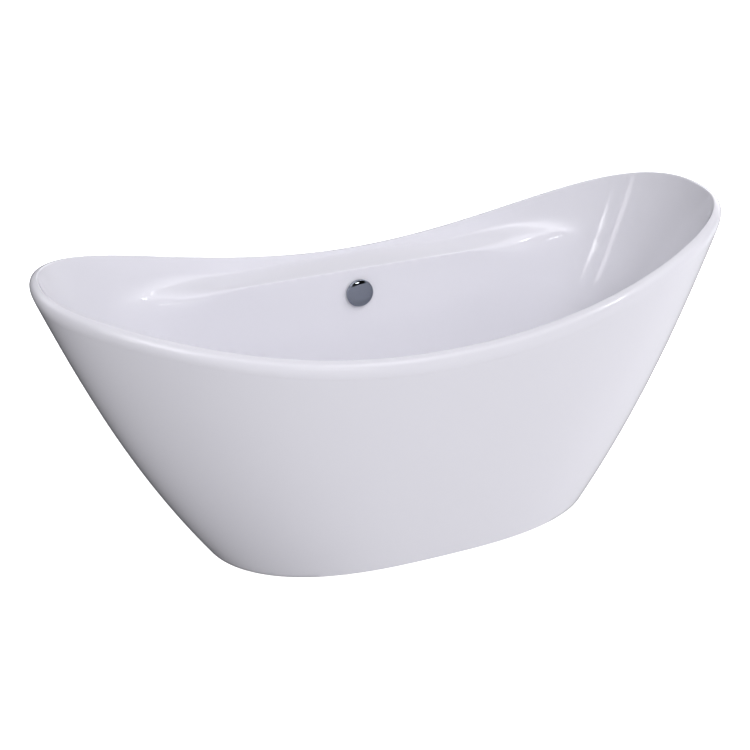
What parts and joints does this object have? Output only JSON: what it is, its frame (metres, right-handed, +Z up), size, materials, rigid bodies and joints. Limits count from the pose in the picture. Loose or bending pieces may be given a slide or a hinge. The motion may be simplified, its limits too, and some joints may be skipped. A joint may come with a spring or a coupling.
{
  "type": "freestanding bathtub",
  "caption": "Double-ended slipper bathtub standing on its own flared skirt, with a raised rim at both ends, a side overflow, a push-to-open central waste and levelling feet.",
  "frame": {"origin": "on the floor, under the middle of the tub, midway between the ends and between the sides", "axes": "+X along the tub's length, +Y towards the side with the overflow, +Z up"},
  "size_m": [1.6996, 0.7038, 0.7357],
  "materials": {
    "acrylic": "glossy white acrylic",
    "adhesive": "cured bonding paste",
    "board": "raw particle board",
    "painted_steel": "grey powder coat",
    "zinc_steel": "zinc plated",
    "rubber": "matte black rubber",
    "chrome": "polished chrome plate",
    "white_moulding": "moulded white plastic"
  },
  "bodies": {
    "tub": {"basin_shell": "acrylic", "outer_skirt": "acrylic", "rim_bond_bead": "adhesive", "base_board": "board", "front_rail": "painted_steel", "back_rail": "painted_steel", "cross_member_1": "painted_steel", "cross_member_2": "painted_steel", "cross_member_3": "painted_steel", "cross_member_4": "painted_steel", "skirt_brackets": "painted_steel", "bracket_screws": "zinc_steel", "frame_screws": "zinc_steel", "foot_weld_nuts": "zinc_steel", "foot_lock_nuts": "zinc_steel", "overflow_washer": "rubber", "overflow_seal": "rubber", "overflow_pipe_washers": "rubber", "drain_flange_seal": "rubber", "drain_gasket": "rubber", "tailpiece_washer": "rubber", "overflow_cover": "chrome", "overflow_flange": "chrome", "drain_flange": "chrome", "overflow_elbow": "white_moulding", "overflow_pipe": "white_moulding", "overflow_nuts": "white_moulding", "drain_body": "white_moulding", "click_cartridge": "white_moulding", "tailpiece": "white_moulding", "tailpiece_nut": "white_moulding"},
    "foot_1": {"foot_stud_1": "zinc_steel", "foot_pad_1": "rubber"},
    "foot_2": {"foot_stud_2": "zinc_steel", "foot_pad_2": "rubber"},
    "foot_3": {"foot_stud_3": "zinc_steel", "foot_pad_3": "rubber"},
    "foot_4": {"foot_stud_4": "zinc_steel", "foot_pad_4": "rubber"},
    "foot_5": {"foot_stud_5": "zinc_steel", "foot_pad_5": "rubber"},
    "stopper": {"stopper_cap": "chrome", "stopper_seal": "rubber", "stopper_stem": "zinc_steel"}
  },
  "joints": [
    {"name": "foot_1_adjust", "type": "slide", "parent": "tub", "child": "foot_1", "axis": [0, 0, -1], "range_m": [-0.004, 0.015]},
    {"name": "foot_2_adjust", "type": "slide", "parent": "tub", "child": "foot_2", "axis": [0, 0, -1], "range_m": [-0.004, 0.015]},
    {"name": "foot_3_adjust", "type": "slide", "parent": "tub", "child": "foot_3", "axis": [0, 0, -1], "range_m": [-0.004, 0.015]},
    {"name": "foot_4_adjust", "type": "slide", "parent": "tub", "child": "foot_4", "axis": [0, 0, -1], "range_m": [-0.004, 0.015]},
    {"name": "foot_5_adjust", "type": "slide", "parent": "tub", "child": "foot_5", "axis": [0, 0, -1], "range_m": [-0.004, 0.015]},
    {"name": "stopper_lift", "type": "slide", "parent": "tub", "child": "stopper", "axis": [0, 0, 1], "range_m": [0, 0.009]}
  ]
}
